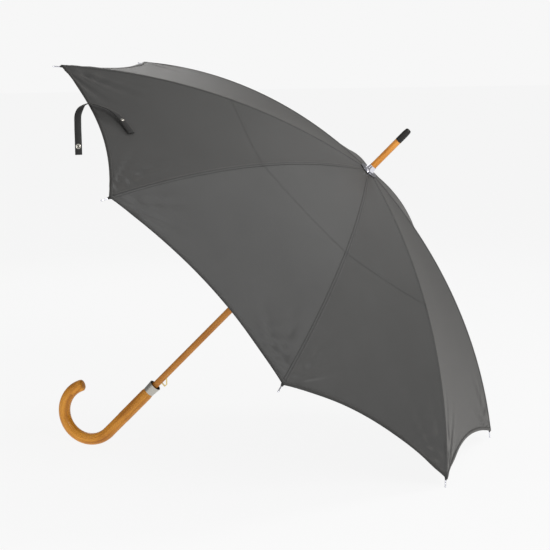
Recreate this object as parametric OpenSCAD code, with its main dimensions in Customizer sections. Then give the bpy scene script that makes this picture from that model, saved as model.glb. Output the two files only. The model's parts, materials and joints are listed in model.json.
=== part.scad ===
// Stick umbrella with a wooden crook handle, lying open on its crook and two rib tips.
// Every sub-part is drawn upright first: +Z runs along the shaft towards the ferrule,
// z = 0 is the top of the cover and +X is the side that ends up facing the floor.

/* [Shaft and handle] */
// Radius of the wooden shaft
shaft_r = 6.4; // [5.2:0.1:7.6]
// Radius of the crook's wood
crook_r = 11.3; // [9:0.1:12]
// Radius of the straight grip
grip_r = 11.6; // [11:0.1:14]
// Length of the thick straight grip
grip_len = 75; // [40:1:90]
// Distance from the cup to where the crook starts to bend
straight_len = 119; // [100:1:160]
// Bend radius of the crook's centre line
bend_r = 54; // [40:1:70]
// Angle that the crook turns through
bend_angle = 206; // [150:1:220]

/* [Ribs and stretchers] */
// Number of ribs
ribs = 8; // [8]
// Distance from notch pivot to stretcher joint, also the stretcher length
link = 272; // [220:1:310]
// Bend radius of an open rib
rib_bend_r = 1030; // [800:5:1500]
// Slope of an open rib at the notch, in degrees
rib_slope = 6.9; // [3:0.1:12]
// Angle that the whole open rib turns through
rib_turn = 32.5; // [29:0.1:38]
// Width of the rib channel
rib_w = 2.6; // [2.4:0.1:2.6]
// Height of the rib channel
rib_h = 2.4; // [2:0.1:2.4]
// Radius of the stretcher's rod
rod_r = 1.3; // [1:0.1:1.5]
// Length of a tip pin beyond the cover's corner
tip_len = 13; // [8:0.5:18]
// Radius of the ball on a tip pin
ball_r = 1.6; // [1.2:0.1:1.8]
// Radius of the wire rings that the ribs and stretchers turn on
wire_ring_r = 11; // [11:0.1:13]
// Radius at which the stretcher joints lie when the umbrella is closed
closed_joint_r = 22; // [20:0.5:28]

/* [Cover] */
// Thickness of the cover
cover_t = 0.6; // [0.4:0.1:1]
// Depth of the scallop between two tips, as an angle along the rib
scallop = 1.7; // [0.5:0.1:3]
// How far the middle of a gore dips at its edge
gore_dip = 7; // [2:1:14]

/* [Metal parts] */
// Height of the tip cup
cup_h = 19; // [12:0.5:24]
// Wall of the tip cup
cup_wall = 1; // [0.8:0.1:1.4]
// Radius of the crown cap's flat washer
crown_base_r = 18; // [13:0.5:20]
// Height of the crown cap
crown_h = 12; // [10:0.5:18]
// Length of the bare wooden ferrule, from the cover to the end cap
ferrule_len = 77; // [50:1:90]
// Length of the ferrule's end cap
ferrule_cap_len = 28; // [20:1:40]
// Wall of the runner's tube
runner_wall = 1.2; // [0.8:0.1:1.4]
// How far a spring catch stands out of the shaft
catch_out = 9; // [5:0.5:9]

/* [Tie strap] */
// Width of the tie strap
strap_w = 12; // [8:1:16]
// Thickness of the tie strap
strap_t = 1; // [0.6:0.1:1.6]

/* [Hidden] */
$fn = 64;

// Named clearances
slide_gap = 0.08;
seat_gap = 0.05;
pivot_gap = 0.1;
wire_gap = 0.2;
side_gap = 0.2;
cover_gap = 1.1;
seam_gap = 0.15;
drop_gap = 0.5;
tip_gap = 0.7;
catch_slack = 3;
root_in = 2;
knuckle = 0.15;

// Small sizes of the joints
eye_r = 1.9;
blade_w = 1.4;
cheek_w = 0.8;
pin_r = 0.9;
wire_r = 0.6;
disc_h = 6;
disc_drop = 1.5;
disc_r = wire_ring_r + 2.6;
groove_w = 1.6;
web = 0.8;
lead = 6.2;
blade_len = 9;
fork_len = 26;
tip_pin_r = 1.2;
tip_seat = 10;
button_gap = 0.3;
stud_r = 3.6;
snap_r = 4.8;

// Rib line: an arc through the notch pivot, measured by its slope
step = 360 / ribs;
pivot_z = -4.7;
arc_x = wire_ring_r - rib_bend_r * sin(rib_slope);
arc_z = pivot_z - rib_bend_r * cos(rib_slope);
joint_slope = rib_slope + 2 * asin(link / 2 / rib_bend_r);
end_slope = rib_slope + rib_turn;
link_slope = (rib_slope + joint_slope) / 2;
function per_mm(l) = l / rib_bend_r * 180 / PI;
function arc_at(a, off) = [arc_x + (rib_bend_r + off) * sin(a), arc_z + (rib_bend_r + off) * cos(a)];
joint_p = arc_at(joint_slope, 0);
ball_p = arc_at(end_slope, 0) + tip_len * [cos(end_slope), -sin(end_slope)];

// The fold: closed place of the joints, the tips and the runner
closed_tip_r = shaft_r + ball_r + tip_gap;
closed_lean = asin((closed_joint_r - wire_ring_r) / link);
runner_open_z = pivot_z - 2 * link * sin(link_slope);
runner_closed_z = pivot_z - 2 * link * cos(closed_lean);
outer_reach = norm(ball_p - joint_p);
closed_ball_z = pivot_z - link * cos(closed_lean)
    - sqrt(pow(outer_reach, 2) - pow(closed_joint_r - closed_tip_r, 2));

// Where the cover starts and how high its underside lies over the rib line
cover_low = eye_r + cover_gap;
cover_hole_r = shaft_r + 1.4;
cover_start = asin((cover_hole_r - arc_x) / (rib_bend_r + cover_low));

// Cup, handle and ferrule
tip_depth = 3.5;
cup_rim_z = closed_ball_z + tip_depth;
cup_base_z = cup_rim_z - cup_h;
cup_r = closed_tip_r + ball_r + tip_gap + cup_wall;
cup_flare = 1.2;
cup_base_r = cup_r - cup_flare;
cup_floor = 2;
liner_t = 1.5;
liner_gap = 0.1;
crook_z = cup_base_z - straight_len;
tenon_len = 35;
cap_z = ferrule_len;
ferrule_r = shaft_r - 0.4;
spigot_r = ferrule_r - 1.2;
spigot_len = ferrule_cap_len - 10;
cap_r = ferrule_r + 0.3;
cap_round = 2;
cap_taper = 8;
cap_straight = ferrule_cap_len - cap_taper - cap_round;
crown_z = arc_at(cover_start, cover_low + cover_t)[1] + seat_gap;
bell_r = shaft_r + 2.6;

// Runner and springs
runner_lift = 1.2;
runner_bottom_z = cup_rim_z + runner_lift;
tube_len = runner_closed_z - runner_bottom_z;
runner_r = shaft_r + slide_gap + runner_wall;
catch_x = shaft_r - 3;
catch_len = 24;
catch_w = 2.2;
catch_wire = 2;
catch_nose = 7;
catch_end = 2.4;
catch_eye_r = 1.6;
catch_pin_r = 0.7;
catch_bridge = 11;
hand_pin_z = runner_bottom_z + catch_bridge + catch_len;
top_pin_z = runner_open_z - tube_len - catch_slack - catch_len;
slot_in = shaft_r - 1.6;
catch_reach = shaft_r + catch_out - catch_x;
stop_z = runner_open_z + disc_h / 2 - disc_drop + 0.3 + pin_r;

// Resting pose: the floor touches the two lowest tips and the crook's outside
ball_x = ball_p[0] * cos(step / 2);
crook_out = bend_r + crook_r;
to_crook = [-bend_r - ball_x, crook_z - ball_p[1]];
tilt = acos((crook_out - ball_r) / norm(to_crook)) - atan2(-to_crook[1], -to_crook[0]);
floor_z = cos(tilt) * ball_x - sin(tilt) * ball_p[1] + ball_r;
front_x = sin(tilt) * ball_x + cos(tilt) * ball_p[1] + ball_r;
back_x = -sin(tilt) * bend_r + cos(tilt) * crook_z - crook_out;

module rest() {
    translate([-(front_x + back_x) / 2, 0, floor_z])
        rotate([0, 90 - tilt, 0])
            children();
}

module at_rib(i) {
    rest()
        rotate([0, 0, step * (i - 0.5)])
            children();
}

// Places its children on the rib line, +X along the rib towards the tip
module on_arc(slope) {
    p = arc_at(slope, 0);
    translate([p[0], 0, p[1]])
        rotate([0, slope, 0])
            children();
}

module tube(r_out, r_in, h) {
    difference() {
        cylinder(r = r_out, h = h);
        translate([0, 0, -1])
            cylinder(r = r_in, h = h + 2);
    }
}

module cross_pin(r, w) {
    rotate([90, 0, 0])
        cylinder(r = r, h = w, center = true);
}

// A steel channel bent along the rib line, open underneath
module channel(from_slope, to_slope) {
    translate([arc_x, 0, arc_z])
        rotate([90, 0, 0])
            rotate([0, 0, 90 - to_slope])
                rotate_extrude(angle = to_slope - from_slope)
                    translate([rib_bend_r, 0])
                        difference() {
                            square([rib_h, rib_w], center = true);
                            translate([-web, 0])
                                square([rib_h, groove_w], center = true);
                        }
}

// A flat blade with an eye at its origin, w wide, reaching l along X
module blade(l, w) {
    cross_pin(eye_r, w);
    translate([min(0, l), -w / 2, -rib_h / 2 + 0.1])
        cube([abs(l), w, rib_h - 0.2]);
}

module cheeks(l, inner) {
    for (s = [-1, 1])
        translate([0, s * (inner + cheek_w / 2), 0])
            blade(l, cheek_w);
}

// A disc with one slot for each rib and a groove for the wire ring
module slotted_disc(bore) {
    difference() {
        translate([0, 0, -disc_h / 2 - disc_drop])
            tube(disc_r, bore, disc_h);
        rotate_extrude()
            translate([wire_ring_r, 0])
                circle(r = wire_r + seat_gap, $fn = 24);
        for (i = [1:ribs])
            rotate([0, 0, step * (i - 0.5)])
                translate([wire_ring_r - eye_r - 0.4, -blade_w / 2 - side_gap, -disc_h])
                    cube([disc_r, blade_w + 2 * side_gap, 2 * disc_h]);
    }
}

module wire_ring() {
    rotate_extrude()
        translate([wire_ring_r, 0])
            circle(r = wire_r, $fn = 24);
}

module catch_slot(pin_z, s) {
    below = s > 0 ? catch_slack : catch_len + catch_slack + 1;
    translate([-slot_in, -catch_w / 2 - side_gap, pin_z - below])
        cube([4 * shaft_r, catch_w + 2 * side_gap, catch_len + 2 * catch_slack + 1]);
    translate([catch_x, 0, pin_z])
        cross_pin(catch_pin_r + 0.02, 30);
}

module shaft() {
    color("#c98a3c")
        rest()
            difference() {
                union() {
                    translate([0, 0, cup_base_z - tenon_len])
                        cylinder(r = shaft_r, h = crown_h - 2 - cup_base_z + tenon_len);
                    cylinder(r = ferrule_r, h = cap_z);
                    cylinder(r = spigot_r, h = cap_z + spigot_len);
                }
                catch_slot(top_pin_z, 1);
                catch_slot(hand_pin_z, -1);
                translate([0, 0, stop_z])
                    cross_pin(pin_r + 0.02, 30);
            }
}

module crook_handle() {
    color("#b9722c")
        rest()
            difference() {
                union() {
                    translate([0, 0, cup_base_z - grip_len])
                        rotate_extrude()
                            polygon([[0, 0], [grip_r, 0], [grip_r, grip_len - 8],
                                [cup_base_r - 0.3, grip_len], [0, grip_len]]);
                    translate([0, 0, cup_base_z - grip_len - 4])
                        cylinder(r1 = crook_r, r2 = grip_r, h = 4);
                    translate([0, 0, crook_z])
                        cylinder(r = crook_r, h = straight_len - grip_len);
                    translate([0, 0, crook_z])
                        sphere(r = crook_r + knuckle);
                    translate([-bend_r, 0, crook_z])
                        rotate([90, 0, 0])
                            rotate([0, 0, -bend_angle])
                                rotate_extrude(angle = bend_angle)
                                    translate([bend_r, 0])
                                        circle(r = crook_r);
                    translate([-bend_r, 0, crook_z])
                        rotate([0, bend_angle, 0])
                            translate([bend_r, 0, 0])
                                crook_end();
                }
                translate([0, 0, cup_base_z - tenon_len])
                    cylinder(r = shaft_r + seat_gap, h = tenon_len + 1);
            }
}

// The rounded end of the crook
module crook_end() {
    fillet = crook_r * 0.45;
    rotate([180, 0, 0])
        rotate_extrude() {
            translate([0, -root_in])
                square([crook_r - fillet, fillet + root_in]);
            intersection() {
                translate([crook_r - fillet, 0])
                    circle(r = fillet);
                square(crook_r);
            }
        }
}

module tip_cup() {
    color("#c9c6bf")
        rest()
            translate([0, 0, cup_base_z])
                rotate_extrude()
                    polygon([[shaft_r + seat_gap, 0], [cup_base_r, 0], [cup_r, cup_h],
                        [cup_r - cup_wall, cup_h], [cup_base_r - cup_wall, cup_floor],
                        [shaft_r + seat_gap, cup_floor]]);
}

module cup_liner() {
    color("#141414")
        rest()
            translate([0, 0, cup_base_z + cup_floor])
                rotate_extrude()
                    polygon([[shaft_r + seat_gap, 0], [cup_base_r - cup_wall - liner_gap, 0],
                        [cup_base_r - cup_wall - liner_gap, liner_t], [shaft_r + 0.9, liner_t],
                        [shaft_r + 0.7, liner_t + 3], [shaft_r + seat_gap, liner_t + 3]]);
}

module top_notch() {
    color("#2a2a2c")
        rest()
            translate([0, 0, pivot_z]) {
                slotted_disc(shaft_r + seat_gap);
                translate([0, 0, -14])
                    tube(shaft_r + 1.4, shaft_r + seat_gap, 12);
            }
}

module notch_wire() {
    color("#b8b8b8")
        rest()
            translate([0, 0, pivot_z])
                wire_ring();
}

module crown_cap() {
    color("#e6e6ec")
        rest()
            translate([0, 0, crown_z])
                rotate_extrude()
                    polygon([[shaft_r + seat_gap, 0], [crown_base_r, 0], [crown_base_r, 0.7],
                        [bell_r + 1, 1.5], [bell_r, 2.2], [bell_r - 0.9, 5],
                        [shaft_r + 0.8, crown_h - 1.5], [shaft_r + 0.6, crown_h],
                        [shaft_r + seat_gap, crown_h]]);
}

module ferrule_cap() {
    color("#17171a")
        rest()
            translate([0, 0, cap_z])
                difference() {
                    union() {
                        cylinder(r = cap_r, h = cap_straight);
                        translate([0, 0, cap_straight])
                            cylinder(r1 = cap_r, r2 = cap_r - 0.7, h = cap_taper);
                        translate([0, 0, ferrule_cap_len - cap_round])
                            cylinder(r1 = cap_r - 0.7, r2 = cap_r - 2.2, h = cap_round);
                    }
                    translate([0, 0, -1])
                        cylinder(r = spigot_r + seat_gap, h = spigot_len + 1 + drop_gap);
                }
}

module stop_pin() {
    color("#b5953f")
        rest()
            translate([0, 0, stop_z])
                cross_pin(pin_r, 2 * shaft_r + 4);
}

// A catch of bent brass wire: its eye at the origin, a ramp, and a ledge at z = s * catch_len
module catch(s) {
    rotate([90, 0, 0])
        linear_extrude(catch_w, center = true)
            mirror([0, s < 0 ? 1 : 0])
                difference() {
                    union() {
                        circle(r = catch_eye_r);
                        polygon([[-1, 0], [1, 0], [1.6, 7], [catch_reach, catch_len - catch_nose],
                            [catch_reach, catch_len], [catch_end, catch_len],
                            [catch_end, catch_len - catch_wire],
                            [catch_reach - catch_wire, catch_len - catch_wire],
                            [catch_reach - catch_wire, catch_len - catch_nose + 1], [0.3, 8.6], [-1, 6]]);
                    }
                    circle(r = catch_pin_r + pivot_gap);
                }
}

module top_spring() {
    color("#d8b862")
        rest()
            translate([catch_x, 0, top_pin_z])
                catch(1);
}

module hand_spring() {
    color("#d8b862")
        rest()
            translate([catch_x, 0, hand_pin_z])
                catch(-1);
}

module catch_pin(pin_z) {
    color("#b5953f")
        rest()
            translate([catch_x, 0, pin_z])
                cross_pin(catch_pin_r, 1.6 * shaft_r);
}

module runner() {
    color("#c9c6bf")
        rest()
            translate([0, 0, runner_open_z])
                difference() {
                    union() {
                        slotted_disc(shaft_r + slide_gap);
                        translate([0, 0, -tube_len])
                            tube(runner_r, shaft_r + slide_gap, tube_len - 2);
                    }
                    translate([0, -catch_w / 2 - 2 * side_gap, catch_bridge - catch_slack - tube_len])
                        cube([4 * shaft_r, catch_w + 4 * side_gap, catch_len + 2 * catch_slack]);
                }
}

module runner_wire() {
    color("#b8b8b8")
        rest()
            translate([0, 0, runner_open_z])
                wire_ring();
}

// Inner half of a rib, from the notch to the stretcher joint, with the joint's rivet
module rib(i) {
    color("#9a9a9c")
        at_rib(i)
            difference() {
                union() {
                    on_arc(rib_slope)
                        blade(blade_len, blade_w);
                    channel(rib_slope + per_mm(lead), joint_slope - per_mm(lead));
                    on_arc(joint_slope) {
                        blade(-blade_len, blade_w);
                        cross_pin(pin_r, blade_w + 4 * cheek_w + 6 * side_gap);
                    }
                }
                on_arc(rib_slope)
                    cross_pin(wire_r + wire_gap, 10);
            }
}

// Outer half of a rib, from the stretcher joint to the tip
module outer_rib(i) {
    color("#9a9a9c")
        at_rib(i)
            difference() {
                union() {
                    channel(joint_slope + per_mm(lead), end_slope - per_mm(tip_seat));
                    on_arc(joint_slope)
                        cheeks(blade_len + 2, blade_w / 2 + side_gap);
                }
                on_arc(joint_slope)
                    cross_pin(pin_r + pivot_gap, 10);
            }
}

module rib_tip(i) {
    color("#dcdcdc")
        at_rib(i)
            on_arc(end_slope) {
                translate([-tip_seat, 0, 0])
                    rotate([0, 90, 0])
                        cylinder(r = tip_pin_r, h = tip_seat + tip_len);
                translate([tip_len, 0, 0])
                    sphere(r = ball_r);
            }
}

module stretcher(i) {
    color("#8c8c8e")
        at_rib(i)
            translate([joint_p[0], 0, joint_p[1]])
                rotate([0, 180 - link_slope, 0])
                    difference() {
                        union() {
                            cheeks(fork_len, blade_w / 2 + cheek_w + 2 * side_gap);
                            translate([fork_len - 2, -blade_w / 2 - 2 * cheek_w - 2 * side_gap, -1.1])
                                cube([6, blade_w + 4 * cheek_w + 4 * side_gap, 2.2]);
                            translate([fork_len, 0, 0])
                                rotate([0, 90, 0])
                                    cylinder(r = rod_r, h = link - fork_len - blade_len);
                            translate([link, 0, 0])
                                blade(-blade_len - 2, blade_w);
                        }
                        cross_pin(pin_r + pivot_gap, 10);
                        translate([link, 0, 0])
                            cross_pin(wire_r + wire_gap, 10);
                    }
}

// Cover: one piece from mid-gore to mid-gore over each rib
along = 16;
across = 5;
function ease(v) = 1 - pow(1 - abs(v), 2);
function cover_slope(u, v) = cover_start + u * (end_slope - scallop * ease(v) - cover_start);
function cover_dip(u, v) = gore_dip * ease(v) * u;
function cover_pt(u, v, off) =
    let (p = arc_at(cover_slope(u, v), off - cover_dip(u, v)),
        w = p[0] * sin(step) / 2)
    [p[0] - abs(v) * p[0] * (1 - cos(step)) / 2, v * w * (1 - seam_gap / w), p[1]];
function cover_row(off) = [for (j = [0:along], k = [-across:across]) cover_pt(j / along, k / across, off)];

module canopy(i) {
    n = 2 * across + 1;
    m = n * (along + 1);
    top = [for (j = [0:along - 1], k = [0:n - 2], f = [0, 1])
        let (a = j * n + k)
        f == 0 ? [a, a + n, a + n + 1] : [a, a + n + 1, a + 1]];
    under = [for (f = top) [f[0] + m, f[2] + m, f[1] + m]];
    rim = concat([for (k = [0:n - 2]) k], [for (j = [0:along - 1]) j * n + n - 1],
        [for (k = [n - 1:-1:1]) along * n + k], [for (j = [along:-1:1]) j * n]);
    count = len(rim);
    wall = [for (q = [0:count - 1], f = [0, 1])
        let (a = rim[q], b = rim[(q + 1) % count])
        f == 0 ? [a, b, b + m] : [a, b + m, a + m]];
    color("#3a3a3b")
        at_rib(i)
            polyhedron(points = concat(cover_row(cover_low + cover_t), cover_row(cover_low)),
                faces = concat(top, under, wall));
}

// Tie strap: sewn to the middle of a gore, over the cover's edge and hanging down.
// Each point is a slope along the ribs, a shift sideways and a height off the rib line.
strap_gore = 5;
strap_route = [[33.1, 23, -20], [33.6, -14, -18], [34.2, -38, -16], [35.1, -55, -16], [36.1, -67, -17],
    [36.9, -66, -20], [37.5, -53, -28], [37.7, -36, -40], [37.8, -19, -57], [37.9, -1, -78]];
strap_sewn = [0.56, 0, 0.83];
strap_on = [0.5, -0.5, 0.7];
strap_hang = [0.6, 0.75, 0.3];
strap_last = len(strap_route) - 1;
function unit(v) = v / norm(v);
function strap_at(i) =
    let (p = arc_at(strap_route[i][0], strap_route[i][2]))
    [p[0], strap_route[i][1], p[1]];
function strap_dir(i) = unit(strap_at(min(i + 1, strap_last)) - strap_at(max(i - 1, 0)));
function between(a, b, share) = a * (1 - share) + b * share;
function strap_face(i) = i < 2 ? between(strap_sewn, strap_on, i / 2)
    : between(strap_on, strap_hang, min(max(i - 5, 0) / 2, 1));
function strap_up(i) =
    let (t = strap_dir(i), f = unit(strap_face(i)))
    unit(f - (f * t) * t);
function strap_ring(i) =
    let (u = strap_up(i), w = cross(strap_dir(i), u), p = strap_at(i))
    [for (c = [[1, 1], [-1, 1], [-1, -1], [1, -1]]) p + c[0] * strap_w / 2 * w + c[1] * strap_t / 2 * u];

module tie_strap() {
    n = strap_last + 1;
    color("#161616")
        at_rib(strap_gore + 0.5)
            polyhedron(points = [for (i = [0:strap_last]) each strap_ring(i)],
                faces = concat([[0, 1, 2, 3]], [[4 * n - 1, 4 * n - 2, 4 * n - 3, 4 * n - 4]],
                    [for (i = [0:strap_last - 1], k = [0:3], f = [0, 1])
                        let (a = 4 * i + k, b = 4 * i + (k + 1) % 4)
                        f == 0 ? [a, a + 4, b + 4] : [a, b + 4, b]]));
}

// Puts its children on the strap's face, share of the way from point i to the next
module on_strap(i, share) {
    p = between(strap_at(i), strap_at(i + 1), share);
    u = between(strap_up(i), strap_up(i + 1), share);
    at_rib(strap_gore + 0.5)
        translate(p + unit(u) * (strap_t / 2 + button_gap))
            rotate([0, acos(u[2] / norm(u)), atan2(u[1], u[0])])
                children();
}

module strap_stud() {
    color("#c8c8c8")
        on_strap(1, 0) {
            cylinder(r = stud_r, h = 1);
            cylinder(r = stud_r - 1.5, h = 2);
        }
}

module strap_snap() {
    color("#c8c8c8")
        on_strap(8, 0.45)
            difference() {
                cylinder(r = snap_r, h = 1.6);
                translate([0, 0, 0.6])
                    cylinder(r = snap_r - 2.4, h = 2);
            }
}

shaft();
crook_handle();
tip_cup();
cup_liner();
top_notch();
notch_wire();
crown_cap();
ferrule_cap();
stop_pin();
top_spring();
catch_pin(top_pin_z);  // top_spring_pin
hand_spring();
catch_pin(hand_pin_z);  // hand_spring_pin
runner();
runner_wire();
tie_strap();
strap_stud();
strap_snap();
for (i = [1:ribs]) {
    rib(i);
    outer_rib(i);
    rib_tip(i);
    stretcher(i);
    canopy(i);
}
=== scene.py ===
# %% [markdown]
# # A stick umbrella
# The CAD model is loaded as a fixed frame. Its wood and metal pieces are kept and get new materials,
# and the cloth cover is rebuilt here as thin sheets that ride on the ribs and fold with them.

# %% Load the frame
import bpy
import json
import math
from mathutils import Matrix, Vector


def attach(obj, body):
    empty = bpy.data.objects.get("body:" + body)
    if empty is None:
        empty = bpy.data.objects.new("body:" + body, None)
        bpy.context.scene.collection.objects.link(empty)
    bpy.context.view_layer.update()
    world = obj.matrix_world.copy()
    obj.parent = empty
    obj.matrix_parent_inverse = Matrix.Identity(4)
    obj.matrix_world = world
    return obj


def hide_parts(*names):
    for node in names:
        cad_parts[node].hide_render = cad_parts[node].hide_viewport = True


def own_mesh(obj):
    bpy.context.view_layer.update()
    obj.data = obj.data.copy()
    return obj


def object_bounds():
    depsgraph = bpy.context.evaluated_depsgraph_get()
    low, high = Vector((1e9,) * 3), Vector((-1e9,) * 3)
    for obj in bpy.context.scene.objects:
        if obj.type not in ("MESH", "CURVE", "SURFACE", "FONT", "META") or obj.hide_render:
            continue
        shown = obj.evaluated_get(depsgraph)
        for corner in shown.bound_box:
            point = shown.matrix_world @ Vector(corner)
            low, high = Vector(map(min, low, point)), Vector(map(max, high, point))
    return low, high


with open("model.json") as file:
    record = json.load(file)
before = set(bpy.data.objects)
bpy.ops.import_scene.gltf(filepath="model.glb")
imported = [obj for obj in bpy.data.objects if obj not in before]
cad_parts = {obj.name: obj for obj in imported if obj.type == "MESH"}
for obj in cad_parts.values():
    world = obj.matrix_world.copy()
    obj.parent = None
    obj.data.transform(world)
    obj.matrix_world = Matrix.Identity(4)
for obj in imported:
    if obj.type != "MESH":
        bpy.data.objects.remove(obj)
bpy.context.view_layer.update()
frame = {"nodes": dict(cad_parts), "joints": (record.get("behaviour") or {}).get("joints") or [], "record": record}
joints = {joint["name"]: joint for joint in frame["joints"]}
mounts = {mount["name"]: mount for mount in frame["record"]["mounts"]}
bpy.ops.object.select_all(action="DESELECT")

# %% [markdown]
# ## The view
# A long lens a few metres away, a little above the floor and turned round the object, keeps the
# lines nearly parallel. The camera aims near the middle of the object's box.

# %% Camera
low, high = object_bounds()
centre = (low + high) / 2
VIEW_TURN = math.radians(17.07)
VIEW_RISE = math.radians(6.94)
VIEW_ROLL = math.radians(-1.25)
VIEW_DISTANCE = 3.494
AIM_OFFSET = Vector((0.0383, 0.0064, -0.0310))
LENS = 122.1
SENSOR = 36
back = Vector((math.sin(VIEW_TURN) * math.cos(VIEW_RISE), -math.cos(VIEW_TURN) * math.cos(VIEW_RISE),
               math.sin(VIEW_RISE)))
bpy.ops.object.camera_add(location=Vector(centre) + AIM_OFFSET + back * VIEW_DISTANCE)
camera = bpy.context.object
camera.rotation_euler = (-back).to_track_quat("-Z", "Y").to_euler()
camera.rotation_euler.rotate_axis("Z", VIEW_ROLL)
camera.data.lens = LENS
camera.data.sensor_width = SENSOR
bpy.context.scene.camera = camera
print("camera", tuple(camera.location))

# %% [markdown]
# ## Helpers for materials
# Every finish is a tree of nodes. One helper starts a material and the other adds a node with its
# values, so that each finish below reads as a list of what it is made of.

# %% Node helpers
def new_material(name):
    """A material with an empty tree, its output and a Principled shader."""
    material = bpy.data.materials.new(name)
    material.use_nodes = True
    tree = material.node_tree
    shader = tree.nodes["Principled BSDF"]
    return material, tree, shader


def add_node(tree, kind, **values):
    """A node of this kind, with its inputs set by name and its settings by attribute."""
    node = tree.nodes.new(kind)
    for key, value in values.items():
        if key in node.inputs:
            node.inputs[key].default_value = value
        else:
            setattr(node, key, value)
    return node


# %% [markdown]
# ## The floor
# A product picture stands on a floor that is nearly white. A white surface alone would turn grey in
# this dim room, so the plane mostly glows, and a small share of real surface takes a faint shadow.

# %% Floor
FLOOR_SIZE = 60
FLOOR_WHITE = 0.9
FLOOR_GLOW_SHARE = 0.94
FLOOR_GLOW = 0.952
bpy.ops.mesh.primitive_plane_add(size=FLOOR_SIZE, location=(0, 0, 0))
floor = bpy.context.object
floor.name = "floor"
floor_material, tree, shader = new_material("pale_floor")
shader.inputs["Base Color"].default_value = (FLOOR_WHITE, FLOOR_WHITE, FLOOR_WHITE, 1)
shader.inputs["Roughness"].default_value = 1
shader.inputs["Specular IOR Level"].default_value = 0
glow = add_node(tree, "ShaderNodeEmission", Color=(FLOOR_GLOW, FLOOR_GLOW, FLOOR_GLOW, 1), Strength=1.0)
blend = add_node(tree, "ShaderNodeMixShader")
blend.inputs[0].default_value = FLOOR_GLOW_SHARE
tree.links.new(shader.outputs[0], blend.inputs[1])
tree.links.new(glow.outputs[0], blend.inputs[2])
tree.links.new(blend.outputs[0], tree.nodes["Material Output"].inputs["Surface"])
floor.data.materials.append(floor_material)
print("floor glows at", FLOOR_GLOW)

# %% [markdown]
# ## The room
# The camera sees a pale background, but the umbrella is lit by a dimmer room, so that its dark cloth
# keeps its shading. A Light Path node tells the two apart. The room's grey changes with height
# through a colour ramp, which is simpler to tune than many lamps.

# %% World
SEEN_GREY = 0.93
END_GREY = 0.40
GREYS_BETWEEN = ((0.12, 0.24), (0.35, 0.20), (0.6, 0.34))
world = bpy.data.worlds.new("studio")
bpy.context.scene.world = world
world.use_nodes = True
room = world.node_tree
seen = room.nodes["Background"]
seen.inputs["Color"].default_value = (SEEN_GREY, SEEN_GREY, SEEN_GREY, 1)
direction = add_node(room, "ShaderNodeTexCoord")
height = add_node(room, "ShaderNodeSeparateXYZ")
room.links.new(direction.outputs["Generated"], height.inputs[0])
walls = add_node(room, "ShaderNodeValToRGB")
for end in walls.color_ramp.elements:
    end.color = (END_GREY, END_GREY, END_GREY, 1)
for place, grey in GREYS_BETWEEN:
    walls.color_ramp.elements.new(place).color = (grey, grey, grey, 1)
room.links.new(height.outputs[2], walls.inputs[0])
lighting = add_node(room, "ShaderNodeBackground")
room.links.new(walls.outputs[0], lighting.inputs["Color"])
ray = add_node(room, "ShaderNodeLightPath")
either = add_node(room, "ShaderNodeMixShader")
room.links.new(ray.outputs["Is Camera Ray"], either.inputs[0])
room.links.new(lighting.outputs[0], either.inputs[1])
room.links.new(seen.outputs[0], either.inputs[2])
room.links.new(either.outputs[0], room.nodes["World Output"].inputs["Surface"])
bpy.context.scene.view_settings.view_transform = "Standard"
print("room greys", len(walls.color_ramp.elements))

# %% [markdown]
# ## The lamps
# One lamp stands high behind the cover and rakes over it, two stand in front and show the wood, and
# a weak one behind lifts the far gores. They are large squares for soft shadows, turned to the
# middle of the object and hidden from the camera.

# %% Lamps
def soft_lamp(name, direction, distance, size, power):
    """A square area lamp in this direction from the middle of the object, turned to it."""
    place = Vector(centre) + Vector(direction).normalized() * distance
    bpy.ops.object.light_add(type="AREA", location=place)
    lamp = bpy.context.object
    lamp.name = name
    lamp.data.size = size
    lamp.data.energy = power
    lamp.rotation_euler = (Vector(centre) - place).to_track_quat("-Z", "Y").to_euler()
    lamp.visible_camera = False
    return lamp


soft_lamp("over_the_cover", (0.58, 0.385, 0.717), 3.0, 1.3, 34)
soft_lamp("front_right", (0.62, -0.66, 0.42), 3.2, 1.5, 72)
soft_lamp("front_left", (-0.45, -0.8, 0.35), 3.2, 1.6, 10)
soft_lamp("behind_left", (-0.45, 0.8, 0.4), 3.2, 1.5, 14)

# %% [markdown]
# ## Where the umbrella's own axes are
# The shaft's direction comes from the ferrule's mount, and each rib's turning axis comes from its joint, so every
# sheet of cloth is placed by the frame.

# %% Axes
RIBS = 8
SHAFT = Vector(mounts["ferrule_end"]["axis"]).normalized()
FERRULE_LENGTH = 0.105
APEX = Vector(mounts["ferrule_end"]["pos_m"]) - SHAFT * FERRULE_LENGTH
RIB_BEND = 1.030
RIB_SLOPE = math.radians(6.9)
RIB_TURN = math.radians(32.5)
NOTCH_RADIUS = 0.011
NOTCH_DROP = 0.0047
LINK = 0.272
SHEET_LIFT = 0.0033
SCALLOP = math.radians(1.7)
GORE_DIP = 0.007
GORE = 2 * math.pi / RIBS
END_SLOPE = RIB_SLOPE + RIB_TURN
JOINT_SLOPE = RIB_SLOPE + 2 * math.asin(LINK / 2 / RIB_BEND)
ARC_R = NOTCH_RADIUS - RIB_BEND * math.sin(RIB_SLOPE)
ARC_Z = -NOTCH_DROP - RIB_BEND * math.cos(RIB_SLOPE)
HOLE_RADIUS = 0.0078
START_SLOPE = math.asin((HOLE_RADIUS - ARC_R) / (RIB_BEND + SHEET_LIFT))


def fold_name(rib):
    return "canopy_fold" if rib == 1 else f"rib_fold_{rib}"


def rib_axes(rib):
    """The outward and the sideways direction of a rib."""
    side = Vector(joints[fold_name(rib)]["axis"]).normalized()
    return side.cross(SHAFT), side


def rib_point(rib, radius, side_shift, height):
    """A point given by its distance out, sideways and up the shaft, in a rib's own directions."""
    outward, side = rib_axes(rib)
    return APEX + outward * radius + side * side_shift + SHAFT * height


print("apex", tuple(APEX))

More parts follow.
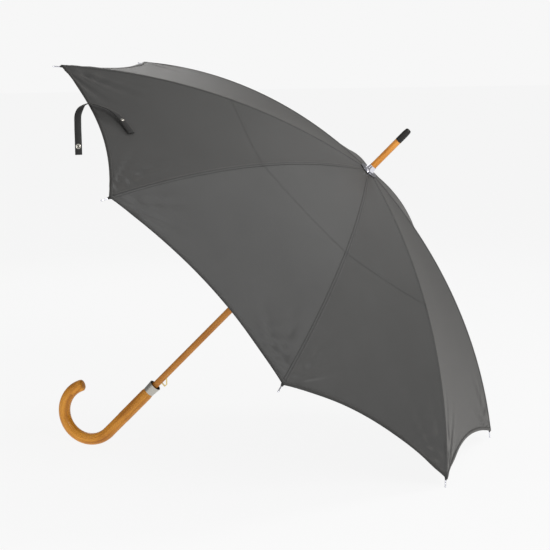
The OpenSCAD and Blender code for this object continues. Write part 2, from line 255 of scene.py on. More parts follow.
# %% [markdown]
# ## The cover
# A cover is cut in gores, each stretched between two ribs. Across a gore the cloth runs nearly
# straight and dips a little in the middle, along the rib it follows the rib's bend, and its free
# edge is cut in a curve. Where the pull gathers at a tip, shallow pleats fan out. Each gore is made
# in strips beside the ribs, since a strip has to ride on its own rib: an inner one on the inner half
# of the rib and an outer one on the part that bends. Their normals come from the whole surface, so
# no border shows between strips.

# %% The surface of the cover
PLEAT_HEIGHT = 0.0024
PLEAT_REACH = 0.045
PLEAT_SPREAD = 0.075
PLEAT_WAVES = ((15, 1.7, 0.6), (27, 2.9, 0.4))
EDGE_HALF = 0.19
SLOPE_STEP = 0.002
SHARE_STEP = 0.01


def ease(share):
    return 1 - (1 - share) ** 2


def pleat(slope, share, rib):
    """Height of the fanned pleats beside a tip, fading with the distance from it."""
    along = (END_SLOPE - slope) * RIB_BEND
    width = share * EDGE_HALF
    reach = math.hypot(along, width)
    turn = math.atan2(width, max(along, 0.0) + 0.004)
    fan = sum(math.sin(turn * count + rib * shift) * weight for count, shift, weight in PLEAT_WAVES)
    fade = math.exp(-((reach - PLEAT_REACH) / PLEAT_SPREAD) ** 2) * min(1, share * 6) * (1 - share) ** 0.6
    return PLEAT_HEIGHT * fan * fade


def cover_point(rib, slope, share, side):
    """A point of the cover: slope along the rib's bend, share of the way to the middle of the gore."""
    slope_share = (slope - START_SLOPE) / (END_SLOPE - START_SLOPE)
    lift = SHEET_LIFT - GORE_DIP * ease(share) * slope_share + pleat(slope, share, rib)
    radius = ARC_R + (RIB_BEND + lift) * math.sin(slope)
    height = ARC_Z + (RIB_BEND + lift) * math.cos(slope)
    inward = share * radius * (1 - math.cos(GORE)) / 2
    sideways = side * share * radius * math.sin(GORE) / 2
    return rib_point(rib, radius - inward, sideways, height)


def cover_normal(rib, slope, share, side):
    """The surface's outward normal, from points close by."""
    if share > 0.999:
        near = 1
        outward, sideways = rib_axes(rib)
        across = outward * -math.sin(GORE / 2) + sideways * side * math.cos(GORE / 2)
    else:
        near = max(share, 0.02)
        ahead = cover_point(rib, slope, near + SHARE_STEP, side)
        across = ahead - cover_point(rib, slope, near - SHARE_STEP, side)
    below = cover_point(rib, slope + SLOPE_STEP, near, side)
    normal = (below - cover_point(rib, slope - SLOPE_STEP, near, side)).cross(across)
    return normal.normalized() * (1 if normal.dot(SHAFT) > 0 else -1)


print("open cover", round(2 * (ARC_R + RIB_BEND * math.sin(END_SLOPE)), 3), "m across")

# %% [markdown]
# ## Sheets from a grid
# Thin cloth is easiest to build directly: rows of points on the surface, four-sided faces between
# them, and a map in metres for the weave. The cover, its bands and the strap all use these helpers.

# %% Sheet helpers
ACROSS_FIRST = (0, 1, 3, 2)
ALONG_FIRST = (0, 2, 3, 1)


def grid_faces(rows, columns, order):
    """Faces over a grid of points laid row by row; order is the way round each face's corners."""
    corners = (0, 1, columns + 1, columns + 2)
    starts = [row * (columns + 1) + column for row in range(rows) for column in range(columns)]
    return [[start + corners[corner] for corner in order] for start in starts]


def sheet_object(name, points, faces, uvs):
    """A smooth mesh object with the cloth map, its faces turned outwards."""
    mesh = bpy.data.meshes.new(name)
    mesh.from_pydata(points, [], faces)
    if sum(face.normal.dot(SHAFT) for face in mesh.polygons) < 0:
        mesh.flip_normals()
    layer = mesh.uv_layers.new(name="cloth")
    for loop in mesh.loops:
        layer.data[loop.index].uv = uvs[loop.vertex_index]
    mesh.polygons.foreach_set("use_smooth", [True] * len(mesh.polygons))
    piece = bpy.data.objects.new(name, mesh)
    bpy.context.scene.collection.objects.link(piece)
    return piece


# %% [markdown]
# ## The strips of the cover
# Each half gore is an inner and an outer strip, and the outer one starts a little above the
# stretcher's joint, under the inner one, so that no gap opens when the outer ribs bend.

# %% Strips of cloth
STRIP_COLUMNS = 14
INNER_ROWS = 22
OUTER_ROWS = 46
OVERLAP = 0.009
OVERLAP_SINK = 0.0005
SIDES = ((1, "left"), (-1, "right"))


def cloth_strip(name, rib, side, first, last, rows, sink=0.0):
    """A strip of the cover from slope first to slope last; last is None at the scalloped edge.
    Above the stretcher's joint the outer strip sinks a little, to lie under the inner one."""
    points, normals, uvs = [], [], []
    for row in range(rows + 1):
        for column in range(STRIP_COLUMNS + 1):
            share = column / STRIP_COLUMNS
            end = last if last is not None else END_SLOPE - SCALLOP * ease(share)
            slope = first + (end - first) * row / rows
            normal = cover_normal(rib, slope, share, side)
            under = sink if slope < JOINT_SLOPE - 1e-6 else 0.0
            points.append(cover_point(rib, slope, share, side) - normal * under)
            normals.append(normal)
            edge = (END_SLOPE - SCALLOP * ease(share) - slope) * RIB_BEND
            width = share * (ARC_R + RIB_BEND * math.sin(slope)) * math.sin(GORE) / 2
            uvs.append((width * side, edge))
    order = ACROSS_FIRST if side < 0 else ACROSS_FIRST[::-1]
    piece = sheet_object(name, points, grid_faces(rows, STRIP_COLUMNS, order), uvs)
    piece.data.normals_split_custom_set_from_vertices(normals)
    piece["flat_length"] = max(uv[1] for uv in uvs) - min(uv[1] for uv in uvs)
    return piece


cover_strips = {}
for rib in range(1, RIBS + 1):
    for side, word in SIDES:
        cover_strips[rib, side, "inner"] = cloth_strip(
            f"cover_{rib}_{word}_inner", rib, side, START_SLOPE, JOINT_SLOPE, INNER_ROWS)
        cover_strips[rib, side, "outer"] = cloth_strip(
            f"cover_{rib}_{word}_outer", rib, side, JOINT_SLOPE - OVERLAP / RIB_BEND, None, OUTER_ROWS,
            sink=OVERLAP_SINK)
print("strips", len(cover_strips))

# %% [markdown]
# ## The hem
# The free edge of a cover is folded over and sewn. A narrow band that stands a little proud of the
# cloth, with its profile swept along the curved edge, shows that fold as real thickness.

# %% Hem bands
HEM_WIDTH = 0.007
HEM_PROFILE = ((0.0, -0.0004), (0.0, 0.0007), (HEM_WIDTH, 0.0007), (HEM_WIDTH, -0.0001))


def hem_band(name, rib, side):
    """A narrow raised band along the scalloped edge of one strip."""
    points, uvs = [], []
    for column in range(STRIP_COLUMNS + 1):
        share = column / STRIP_COLUMNS
        end = END_SLOPE - SCALLOP * ease(share)
        normal = cover_normal(rib, end, share, side)
        for inset, lift in HEM_PROFILE:
            point = cover_point(rib, end - inset / RIB_BEND, share, side)
            points.append(point + normal * lift)
            uvs.append((share * EDGE_HALF * side, inset))
    order = ALONG_FIRST if side > 0 else ALONG_FIRST[::-1]
    return sheet_object(name, points, grid_faces(STRIP_COLUMNS, len(HEM_PROFILE) - 1, order), uvs)


hems = {}
for rib in range(1, RIBS + 1):
    for side, word in SIDES:
        hems[rib, side] = hem_band(f"hem_{rib}_{word}", rib, side)
print("hems", len(hems))

# %% [markdown]
# ## The seams
# Two gores are sewn together over each rib, and the doubled cloth makes a low ridge with a groove
# along its middle. It is a band like the hem, swept along the rib instead of along the edge.

# %% Seam bands
SEAM_HALF = 0.0042
SEAM_SHORT = 0.0015
SEAM_ROWS = {"inner": 30, "outer": 34}
SEAM_PROFILE = ((-1, 1, -0.0002), (-1, 0.9, 0.0005), (-1, 0.12, 0.0006), (1, 0, 0.0002),
                (1, 0.12, 0.0006), (1, 0.9, 0.0005), (1, 1, -0.0002))


def seam_band(name, rib, first, last, rows):
    """The doubled cloth of a seam, a narrow raised band along a rib."""
    points, uvs = [], []
    for row in range(rows + 1):
        slope = first + (last - first) * row / rows
        width = max(0.02, (ARC_R + RIB_BEND * math.sin(slope)) * math.sin(GORE) / 2)
        for side, share_of_half, lift in SEAM_PROFILE:
            share = share_of_half * min(1.0, SEAM_HALF / width)
            points.append(cover_point(rib, slope, share, side) + cover_normal(rib, slope, share, side) * lift)
            uvs.append((side * share_of_half * SEAM_HALF, (END_SLOPE - slope) * RIB_BEND))
    return sheet_object(name, points, grid_faces(rows, len(SEAM_PROFILE) - 1, ALONG_FIRST), uvs)


SEAM_ENDS = {"inner": (START_SLOPE, JOINT_SLOPE + OVERLAP / RIB_BEND),
             "outer": (JOINT_SLOPE, END_SLOPE - SEAM_SHORT)}
seams = {}
for rib in range(1, RIBS + 1):
    for part, (first, last) in SEAM_ENDS.items():
        seams[rib, part] = seam_band(f"seam_{rib}_{part}", rib, first, last, SEAM_ROWS[part])
print("seams", len(seams))

# %% [markdown]
# ## The tip pockets
# Each corner of the cover ends in a small sewn pocket that slips over the rib's tip. A cone with a
# rounded mouth, flattened like folded cloth, has that shape.

# %% Tip pockets
POCKET_LENGTH = 0.013
POCKET_MOUTH = 0.0052
POCKET_POINT = 0.0019
POCKET_FLATNESS = 0.62
POCKET_PAST_END = 0.002
POCKET_LIFT = 0.0008
POCKET_EDGE = 0.0005


def tip_pocket(rib):
    """A flattened cone of cloth over the end of a rib."""
    outward, sideways = rib_axes(rib)
    along = outward * math.cos(END_SLOPE) - SHAFT * math.sin(END_SLOPE)
    up = outward * math.sin(END_SLOPE) + SHAFT * math.cos(END_SLOPE)
    end = rib_point(rib, ARC_R + RIB_BEND * math.sin(END_SLOPE), 0, ARC_Z + RIB_BEND * math.cos(END_SLOPE))
    bpy.ops.object.select_all(action="DESELECT")
    bpy.ops.mesh.primitive_cone_add(vertices=20, radius1=POCKET_MOUTH, radius2=POCKET_POINT,
                                    depth=POCKET_LENGTH)
    piece = bpy.context.object
    piece.name = f"tip_pocket_{rib}"
    bpy.ops.object.mode_set(mode="EDIT")
    bpy.ops.mesh.select_all(action="SELECT")
    bpy.ops.mesh.subdivide(number_cuts=1)
    bpy.ops.object.mode_set(mode="OBJECT")
    turn = Matrix((sideways, up, along)).transposed().to_4x4()
    squeeze = Matrix.Diagonal((1.0, POCKET_FLATNESS, 1.0, 1.0))
    middle = Matrix.Translation(end - along * (POCKET_LENGTH / 2 - POCKET_PAST_END) + up * POCKET_LIFT)
    piece.data.transform(middle @ turn @ squeeze)
    if (middle @ turn).determinant() < 0:
        piece.data.flip_normals()
    bevel = piece.modifiers.new("soft edge", "BEVEL")
    bevel.width = POCKET_EDGE
    bevel.segments = 2
    bevel.angle_limit = math.radians(50)
    bpy.ops.object.modifier_apply(modifier=bevel.name)
    bpy.ops.object.shade_smooth_by_angle(angle=math.radians(50))
    return piece


pockets = {rib: tip_pocket(rib) for rib in range(1, RIBS + 1)}
print("pockets", len(pockets))

# %% [markdown]
# ## The tie strap
# A strap of webbing is sewn to the middle of a gore. It arches over the edge on its side, so its
# narrow edge catches the light, and then turns and hangs with its face outwards. Its route repeats
# the CAD's points, each a slope along the ribs, a shift sideways and a height off the rib line.

# %% Tie strap
STRAP_ROUTE = [(33.1, 0.023, -0.020), (33.6, -0.014, -0.018), (34.2, -0.038, -0.016), (35.1, -0.055, -0.016),
               (36.1, -0.067, -0.017), (36.9, -0.066, -0.020), (37.5, -0.053, -0.028),
               (37.7, -0.036, -0.040), (37.8, -0.019, -0.057), (37.9, -0.001, -0.078)]
STRAP_RIB = 5
STRAP_WIDTH = 0.012
STRAP_THICK = 0.0009
STRAP_SEWN = Vector((0.56, 0, 0.83))
STRAP_ON = Vector((0.5, -0.5, 0.7))
STRAP_HANG = Vector((0.6, 0.75, 0.3))
STRAP_STEPS = 7
STRAP_COLUMNS = 6
STRAP_CURL = 0.0006

gore_side = (rib_axes(STRAP_RIB)[1] + rib_axes(STRAP_RIB + 1)[1]).normalized()
gore_out = gore_side.cross(SHAFT)


def gore_vector(parts):
    return gore_out * parts[0] + gore_side * parts[1] + SHAFT * parts[2]


def strap_station(slope, shift, height):
    """A point of the route, in the frame of the gore's middle plane."""
    turn = math.radians(slope)
    return Vector((ARC_R + (RIB_BEND + height) * math.sin(turn), shift,
                   ARC_Z + (RIB_BEND + height) * math.cos(turn)))


def rounded(points, steps):
    """Points on a smooth curve through the given ones."""
    line = []
    for k in range(len(points) - 1):
        before, here = points[max(k - 1, 0)], points[k]
        there, after = points[k + 1], points[min(k + 2, len(points) - 1)]
        for step in range(steps):
            t = step / steps
            bend = (2 * before - 5 * here + 4 * there - after) * t ** 2
            twist = (3 * here - before - 3 * there + after) * t ** 3
            line.append(0.5 * (2 * here + (there - before) * t + bend + twist))
    return line + [points[-1]]


def strap_face(index):
    """The way the strap faces at a point of its route: flat where it is sewn, on edge, then hanging."""
    if index < 2:
        return STRAP_SEWN.lerp(STRAP_ON, index / 2)
    return STRAP_ON.lerp(STRAP_HANG, min(max(index - 5, 0) / 2, 1))


route = rounded([strap_station(*point) for point in STRAP_ROUTE], STRAP_STEPS)
points, uvs, run = [], [], 0.0
for k, place in enumerate(route):
    tangent = (route[min(k + 1, len(route) - 1)] - route[max(k - 1, 0)]).normalized()
    face = strap_face(k / STRAP_STEPS)
    face = (face - tangent * face.dot(tangent)).normalized()
    across = tangent.cross(face)
    run += (place - route[max(k - 1, 0)]).length
    for column in range(STRAP_COLUMNS + 1):
        off = (column / STRAP_COLUMNS - 0.5) * STRAP_WIDTH
        curl = STRAP_CURL * (1 - (2 * off / STRAP_WIDTH) ** 2)
        points.append(APEX + gore_vector(place + across * off + face * curl))
        uvs.append((off, run))
strap = sheet_object("strap_webbing", points, grid_faces(len(route) - 1, STRAP_COLUMNS, ACROSS_FIRST), uvs)
bpy.context.view_layer.objects.active = strap
wall = strap.modifiers.new("thickness", "SOLIDIFY")
wall.thickness = STRAP_THICK
wall.offset = 0
bpy.ops.object.modifier_apply(modifier=wall.name)
print("strap length", run)

# %% [markdown]
# ## The strap's stud and snap
# A domed stud near the sewn end and a ring snap near the free end close the strap round the rolled
# umbrella. Both are turned shapes: a flattened ball in a ring for the stud, and a ring round a smaller
# one for the snap.


# %% Stud and snap
STUD_INDEX = 1
SNAP_INDEX = 8.43
FACE_LIFT = 0.0006


def strap_place(index):
    """The middle of the strap's face at a point of its route, and the way it faces."""
    step = round(index * STRAP_STEPS)
    place = route[step]
    tangent = (route[min(step + 1, len(route) - 1)] - route[step - 1]).normalized()
    face = strap_face(index)
    face = (face - tangent * face.dot(tangent)).normalized()
    lift = FACE_LIFT + STRAP_THICK / 2
    return APEX + gore_vector(place + face * lift), gore_vector(face)


def join_and_place(name, parts, index):
    """Joins parts made at the origin and puts them on the strap, facing outwards."""
    bpy.ops.object.select_all(action="DESELECT")
    for part in parts:
        part.select_set(True)
    bpy.context.view_layer.objects.active = parts[0]
    bpy.ops.object.join()
    piece = bpy.context.object
    piece.name = name
    bpy.ops.object.transform_apply(location=True, rotation=True, scale=True)
    place, face = strap_place(index)
    piece.data.transform(Matrix.Translation(place) @ face.to_track_quat("Z", "Y").to_matrix().to_4x4())
    bpy.ops.object.shade_smooth_by_angle(angle=math.radians(40))
    return piece


def turned(kind, **sizes):
    """A primitive of this kind at the origin."""
    getattr(bpy.ops.mesh, f"primitive_{kind}_add")(**sizes)
    return bpy.context.object


bpy.ops.object.select_all(action="DESELECT")
rim = turned("torus", major_radius=0.0029, minor_radius=0.0006, major_segments=32, minor_segments=10)
dome = turned("uv_sphere", radius=0.0027, segments=24, ring_count=12)
dome.scale = (1, 1, 0.6)
stud = join_and_place("stud_dome", [rim, dome], STUD_INDEX)
ring = turned("torus", major_radius=0.0036, minor_radius=0.0012, major_segments=36, minor_segments=12)
socket = turned("torus", major_radius=0.0019, minor_radius=0.0004, major_segments=28, minor_segments=8)
snap = join_and_place("snap_ring", [ring, socket], SNAP_INDEX)
print("stud and snap", len(stud.data.vertices), len(snap.data.vertices))

# %% [markdown]
# ## Effects shared by several materials
# An effect that more than one material uses is a node group, built once. The weave is a fine
# over-and-under pattern: two rows of waves multiplied, on a map that is in metres.

# %% Effects shared by several materials
def shader_group(name, inputs, output, kind="NodeSocketFloat"):
    """An empty shader group with these inputs and one output, and its two end nodes."""
    group = bpy.data.node_groups.new(name, "ShaderNodeTree")
    for label, input_kind in inputs:
        group.interface.new_socket(label, in_out="INPUT", socket_type=input_kind)
    group.interface.new_socket(output, in_out="OUTPUT", socket_type=kind)
    return group, group.nodes.new("NodeGroupInput"), group.nodes.new("NodeGroupOutput")


def math_node(tree, operation, a, b=0.0):
    """A Math node; a and b are sockets or numbers."""
    node = tree.nodes.new("ShaderNodeMath")
    node.operation = operation
    for place, value in enumerate((a, b)):
        if isinstance(value, (int, float)):
            node.inputs[place].default_value = value
        else:
            tree.links.new(value, node.inputs[place])
    return node.outputs[0]


YARNS_PER_METRE = 1500
weave_group, enter, leave = shader_group("plain_weave", [("Vector", "NodeSocketVector")], "Height")
split = weave_group.nodes.new("ShaderNodeSeparateXYZ")
weave_group.links.new(enter.outputs[0], split.inputs[0])
yarns = [math_node(weave_group, "MULTIPLY", place, YARNS_PER_METRE * math.pi) for place in split.outputs[:2]]
warp, weft = [math_node(weave_group, "SINE", yarn) for yarn in yarns]
crossing = math_node(weave_group, "MULTIPLY", warp, weft)
weave_group.links.new(crossing, leave.inputs[0])
print("groups", len(bpy.data.node_groups))

# %% [markdown]
# ## The cloth
# The cover is dull woven cloth with uneven dye and a soft sheen. Its map runs sideways from the rib
# and in from the free edge, so the rows of stitches beside each seam, the hem's row and the dark
# thread that ties the cloth to the rib at the stretcher's joint keep their size everywhere.

# %% Cloth
SEAM_DARKNESS = 0.6
TIE_SPOT = (END_SLOPE - JOINT_SLOPE) * RIB_BEND
TIE_HALF = 0.0035
TIE_REACH = 0.0026
STITCH_OFFSET = 0.0034
STITCH_PITCH = 0.0032
STITCH_FILL = -0.35
HEM_ROW = 0.0062
ROW_HALF = 0.0006
FOLD_HALF = 0.0009
PUFF_HALF = 0.0052


def within(tree, value, place, half):
    """1 where a value lies within half of a place, else 0."""
    off = math_node(tree, "ABSOLUTE", math_node(tree, "SUBTRACT", value, place))
    return math_node(tree, "LESS_THAN", off, half)


def cloth_material(name, colour, dark, seams=True):
    """Woven cloth with uneven dye, stitched seams at the ribs and a stitched hem."""
    material, tree, shader = new_material(name)
    link = tree.links.new
    uv = add_node(tree, "ShaderNodeUVMap", uv_map="cloth")
    split = tree.nodes.new("ShaderNodeSeparateXYZ")
    link(uv.outputs[0], split.inputs[0])
    dye = add_node(tree, "ShaderNodeTexNoise", Scale=9.0, Detail=5.0, Roughness=0.6)
    where = tree.nodes.new("ShaderNodeTexCoord")
    link(where.outputs["Object"], dye.inputs["Vector"])
    slub = add_node(tree, "ShaderNodeTexNoise", Scale=420.0, Detail=2.0)
    link(uv.outputs[0], slub.inputs["Vector"])
    mixed = math_node(tree, "ADD", math_node(tree, "MULTIPLY", dye.outputs["Fac"], 0.65),
                      math_node(tree, "MULTIPLY", slub.outputs["Fac"], 0.35))
    ramp = tree.nodes.new("ShaderNodeValToRGB")
    ramp.color_ramp.elements[0].position = 0.3
    ramp.color_ramp.elements[1].position = 0.75
    ramp.color_ramp.elements[0].color = (*[c * 0.86 for c in colour], 1)
    ramp.color_ramp.elements[1].color = (*[c * 1.12 for c in colour], 1)
    link(mixed, ramp.inputs[0])
    weave = add_node(tree, "ShaderNodeGroup", node_tree=weave_group)
    link(uv.outputs[0], weave.inputs[0])
    height = math_node(tree, "MULTIPLY", weave.outputs[0], 0.25)
    colour_out = ramp.outputs[0]
    if seams:
        off_rib = math_node(tree, "ABSOLUTE", split.outputs[0])
        row = within(tree, off_rib, STITCH_OFFSET, ROW_HALF)
        fold = math_node(tree, "LESS_THAN", off_rib, FOLD_HALF)
        turns = math_node(tree, "MULTIPLY", split.outputs[1], 2 * math.pi / STITCH_PITCH)
        wave = math_node(tree, "SINE", turns)
        stitch = math_node(tree, "GREATER_THAN", wave, STITCH_FILL)
        stitches = math_node(tree, "MULTIPLY", row, stitch)
        hem_row = within(tree, split.outputs[1], HEM_ROW, ROW_HALF)
        line = math_node(tree, "MAXIMUM", stitches, math_node(tree, "MAXIMUM", fold, hem_row))
        tie = math_node(tree, "MULTIPLY", within(tree, split.outputs[1], TIE_SPOT, TIE_HALF),
                        math_node(tree, "LESS_THAN", off_rib, TIE_REACH))
        line = math_node(tree, "MAXIMUM", line, tie)
        shade = tree.nodes.new("ShaderNodeMix")
        shade.data_type = "RGBA"
        link(math_node(tree, "MULTIPLY", line, SEAM_DARKNESS), shade.inputs["Factor"])
        link(ramp.outputs[0], shade.inputs["A"])
        shade.inputs["B"].default_value = (*dark, 1)
        colour_out = shade.outputs["Result"]
        height = math_node(tree, "SUBTRACT", height, math_node(tree, "MULTIPLY", line, 1.2))
        puff = math_node(tree, "LESS_THAN", off_rib, PUFF_HALF)
        height = math_node(tree, "ADD", height, math_node(tree, "MULTIPLY", puff, 1.0))
    link(colour_out, shader.inputs["Base Color"])
    bump = add_node(tree, "ShaderNodeBump", Strength=0.35, Distance=0.0006)
    link(height, bump.inputs["Height"])
    link(bump.outputs[0], shader.inputs["Normal"])
    shader.inputs["Roughness"].default_value = 0.56
    shader.inputs["Specular IOR Level"].default_value = 0.36
    shader.inputs["Sheen Weight"].default_value = 0.10
    shader.inputs["Sheen Roughness"].default_value = 0.5
    shader.inputs["Sheen Tint"].default_value = (1.0, 0.95, 0.88, 1)
    return material


cover_cloth = cloth_material("cover_cloth", (0.042, 0.042, 0.041), (0.012, 0.012, 0.012))
hem_cloth = cloth_material("hem_cloth", (0.022, 0.022, 0.021), (0.010, 0.010, 0.010), seams=False)
strap_cloth = cloth_material("strap_webbing", (0.009, 0.009, 0.009), (0.004, 0.004, 0.004), seams=False)
print("cloth", cover_cloth.name, hem_cloth.name, strap_cloth.name)

# %% [markdown]
# ## The bent grain
# The crook is steamed and bent, so its grain follows the bend. This group turns a point, given from
# the bend's centre, into a distance from the bend's middle, a depth and a length along the wood.

# %% The bent grain
BEND_INPUTS = [("Vector", "NodeSocketVector"), ("Radius", "NodeSocketFloat")]
bend_group, enter, leave = shader_group("bent_grain", BEND_INPUTS, "Grain", "NodeSocketVector")
parts = bend_group.nodes.new("ShaderNodeSeparateXYZ")
bend_group.links.new(enter.outputs[0], parts.inputs[0])
x_part, y_part, z_part = parts.outputs
squares = math_node(bend_group, "ADD", math_node(bend_group, "MULTIPLY", x_part, x_part),
                    math_node(bend_group, "MULTIPLY", z_part, z_part))
radius = math_node(bend_group, "SQRT", squares)
angle = math_node(bend_group, "ARCTAN2", z_part, x_part)
on_bend = math_node(bend_group, "LESS_THAN", z_part, 0.0)
straight = math_node(bend_group, "SUBTRACT", 1.0, on_bend)
off_line = math_node(bend_group, "ADD", math_node(bend_group, "MULTIPLY", on_bend, radius),
                     math_node(bend_group, "MULTIPLY", straight, x_part))
round_bend = math_node(bend_group, "MULTIPLY", angle, enter.outputs[1])
length = math_node(bend_group, "ADD", math_node(bend_group, "MULTIPLY", on_bend, round_bend),
                   math_node(bend_group, "MULTIPLY", straight, z_part))
joined = bend_group.nodes.new("ShaderNodeCombineXYZ")
bend_group.links.new(off_line, joined.inputs[0])
bend_group.links.new(y_part, joined.inputs[1])
bend_group.links.new(length, joined.inputs[2])
bend_group.links.new(joined.outputs[0], leave.inputs[0])
print("groups", len(bpy.data.node_groups))

# %% [markdown]
# ## The wood
# Shaft and crook are varnished wood. Noise stretched along the grain gives the figure and the pores,
# a larger one the blotches of the stain, and a colour ramp turns them into light and dark wood. A
# thin coat on the shader is the varnish.

# %% Wood
BEND_RADIUS = 0.054
SHAFT_TURN = math.atan2(-SHAFT.x, SHAFT.z)


def wood_material(name, light, mid, dark, origin, bent, figure_scale, pull):
    """Varnished wood whose grain runs along the piece, and round the bend where it is bent."""
    material, tree, shader = new_material(name)
    link = tree.links.new
    where = add_node(tree, "ShaderNodeTexCoord")
    centred = add_node(tree, "ShaderNodeVectorMath", operation="SUBTRACT")
    centred.inputs[1].default_value = origin
    link(where.outputs["Object"], centred.inputs[0])
    along = add_node(tree, "ShaderNodeMapping", vector_type="POINT")
    along.inputs["Rotation"].default_value = (0.0, SHAFT_TURN, 0.0)
    link(centred.outputs[0], along.inputs["Vector"])
    grain = along.outputs[0]
    if bent:
        round_bend = add_node(tree, "ShaderNodeGroup", node_tree=bend_group)
        round_bend.inputs["Radius"].default_value = BEND_RADIUS
        link(grain, round_bend.inputs["Vector"])
        grain = round_bend.outputs["Grain"]
    stretch = add_node(tree, "ShaderNodeMapping", vector_type="POINT")
    stretch.inputs["Scale"].default_value = (1, 1, pull)
    link(grain, stretch.inputs["Vector"])
    figure = add_node(tree, "ShaderNodeTexNoise", Scale=figure_scale, Detail=5.0, Roughness=0.6,
                      Distortion=0.15)
    link(stretch.outputs[0], figure.inputs["Vector"])
    pores = add_node(tree, "ShaderNodeTexNoise", Scale=figure_scale * 9, Detail=2.0)
    link(stretch.outputs[0], pores.inputs["Vector"])
    blotch = add_node(tree, "ShaderNodeTexNoise", Scale=26.0, Detail=2.0)
    link(where.outputs["Object"], blotch.inputs["Vector"])
    tone = math_node(tree, "ADD", math_node(tree, "MULTIPLY", figure.outputs["Fac"], 0.6),
                     math_node(tree, "ADD", math_node(tree, "MULTIPLY", pores.outputs["Fac"], 0.15),
                               math_node(tree, "MULTIPLY", blotch.outputs["Fac"], 0.25)))
    ramp = add_node(tree, "ShaderNodeValToRGB")
    ramp.color_ramp.elements[0].position = 0.36
    ramp.color_ramp.elements[0].color = (*dark, 1)
    ramp.color_ramp.elements[1].position = 0.64
    ramp.color_ramp.elements[1].color = (*light, 1)
    ramp.color_ramp.elements.new(0.49).color = (*mid, 1)
    link(tone, ramp.inputs[0])
    link(ramp.outputs[0], shader.inputs["Base Color"])
    bump = add_node(tree, "ShaderNodeBump", Strength=0.1, Distance=0.0003)
    link(tone, bump.inputs["Height"])
    link(bump.outputs[0], shader.inputs["Normal"])
    shader.inputs["Roughness"].default_value = 0.44
    shader.inputs["Specular IOR Level"].default_value = 0.35
    shader.inputs["Coat Weight"].default_value = 0.12
    shader.inputs["Coat Roughness"].default_value = 0.2
    return material


crook_centre = Vector(mounts["crook_hang"]["pos_m"])
shaft_wood = wood_material("shaft_wood", (0.78, 0.34, 0.060), (0.60, 0.225, 0.028), (0.39, 0.122, 0.010),
                           APEX, False, 170.0, 0.022)
crook_wood = wood_material("crook_wood", (0.84, 0.37, 0.044), (0.63, 0.245, 0.018), (0.38, 0.122, 0.006),
                           crook_centre, True, 120.0, 0.05)
print("wood", shaft_wood.name, crook_wood.name)

# %% [markdown]
# ## Metals and plastics
# Bright metal shows its age in its roughness more than in its colour, so one noise varies the
# roughness, the tint and a very slight bump. Gloss plastic is the same without the metal.

# %% Metals and plastics
def metal_material(name, colour, rough, scratch=0.12, metallic=1.0, scale=260.0):
    """Metal or gloss plastic with fine marks in its finish."""
    material, tree, shader = new_material(name)
    link = tree.links.new
    where = tree.nodes.new("ShaderNodeTexCoord")
    marks = add_node(tree, "ShaderNodeTexNoise", Scale=scale, Detail=4.0, Roughness=0.65)
    link(where.outputs["Object"], marks.inputs["Vector"])
    spread = add_node(tree, "ShaderNodeMapRange")
    spread.inputs["To Min"].default_value = max(0.02, rough - scratch)
    spread.inputs["To Max"].default_value = rough + scratch
    link(marks.outputs["Fac"], spread.inputs["Value"])
    link(spread.outputs[0], shader.inputs["Roughness"])
    tint = tree.nodes.new("ShaderNodeMix")
    tint.data_type = "RGBA"
    tint.inputs["A"].default_value = (*[c * 0.86 for c in colour], 1)
    tint.inputs["B"].default_value = (*colour, 1)
    link(marks.outputs["Fac"], tint.inputs["Factor"])
    link(tint.outputs["Result"], shader.inputs["Base Color"])
    bump = add_node(tree, "ShaderNodeBump", Strength=0.06, Distance=0.0002)
    link(marks.outputs["Fac"], bump.inputs["Height"])
    link(bump.outputs[0], shader.inputs["Normal"])
    shader.inputs["Metallic"].default_value = metallic
    return material


nickel = metal_material("brushed_nickel", (0.56, 0.54, 0.49), 0.34)
chrome = metal_material("bright_chrome", (0.80, 0.80, 0.86), 0.10, scratch=0.05)
rib_steel = metal_material("rib_steel", (0.50, 0.50, 0.51), 0.36)
brass = metal_material("spring_brass", (0.85, 0.66, 0.30), 0.24)
black_gloss = metal_material("black_gloss", (0.006, 0.005, 0.004), 0.46, metallic=0.0)
black_dull = metal_material("black_dull", (0.014, 0.014, 0.014), 0.6, metallic=0.0)
print("materials", len(bpy.data.materials))

# %% [markdown]
# ## Paint the CAD pieces
# The wood, the metal and the plastic pieces keep their CAD shapes, and only their materials change.

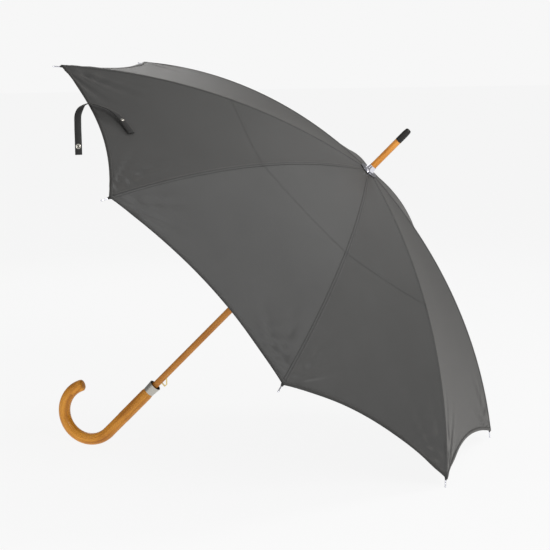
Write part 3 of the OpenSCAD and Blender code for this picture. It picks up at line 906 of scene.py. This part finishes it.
# %% Assign materials
FINISH = {
    "shaft": shaft_wood, "crook_handle": crook_wood, "tip_cup": nickel, "cup_liner": black_dull,
    "top_notch": black_dull, "notch_wire": rib_steel, "crown_cap": chrome, "ferrule_cap": black_gloss,
    "stop_pin": brass, "top_spring": brass, "top_spring_pin": brass, "hand_spring": brass,
    "hand_spring_pin": brass, "runner": nickel, "runner_wire": rib_steel,
}
for rib in range(1, RIBS + 1):
    FINISH[f"rib_{rib}"] = rib_steel
    FINISH[f"outer_rib_{rib}"] = rib_steel
    FINISH[f"stretcher_{rib}"] = rib_steel
    FINISH[f"rib_tip_{rib}"] = chrome
for name, material in FINISH.items():
    node = frame["nodes"][name]
    if not node.material_slots:
        bpy.context.view_layer.objects.active = node
        bpy.ops.object.material_slot_add()
    for place in node.material_slots:
        place.link = "OBJECT"
        place.material = material
print("painted", len(FINISH))

# %% [markdown]
# ## Riding on the ribs
# A strip rides on the rib or on the part of the rib that bends, since cloth can't follow a joint.


def fold_with_rib(piece, rib, part):
    """Rides a piece on its rib, or on the part of the rib that bends."""
    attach(piece, f"rib_{rib}" if part == "inner" else f"outer_{rib}")
    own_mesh(piece)


def dress(piece, material):
    """Gives a new piece its material."""
    piece.data.materials.append(material)


for (rib, side), piece in hems.items():
    dress(piece, hem_cloth)
    fold_with_rib(piece, rib, "outer")
for (rib, part), piece in seams.items():
    dress(piece, cover_cloth)
    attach(piece, f"rib_{rib}" if part == "inner" else f"outer_{rib}")
for rib, piece in pockets.items():
    dress(piece, hem_cloth)
    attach(piece, f"outer_{rib}")

for (rib, side, part), piece in cover_strips.items():
    dress(piece, cover_cloth)
    fold_with_rib(piece, rib, part)
    length = piece["flat_length"]
    along_it = [] if part == "inner" else [hems[rib, side]]
    if side > 0:
        along_it.append(seams[rib, part])
        if part == "outer":
            along_it.append(pockets[rib])
for rib in range(1, RIBS + 1):
    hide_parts(f"canopy_{rib}")
print("riding", len(hems) + len(seams) + len(pockets) + len(cover_strips))

# %% [markdown]
# ## The strap on its rib
# The strap, its stud and its snap ride on the outer part of one rib.

# %% Strap on its rib
dress(strap, strap_cloth)
dress(stud, nickel)
dress(snap, nickel)
for piece in (strap, stud, snap):
    fold_with_rib(piece, STRAP_RIB, "outer")
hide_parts("tie_strap")
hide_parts("strap_stud")
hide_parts("strap_snap")
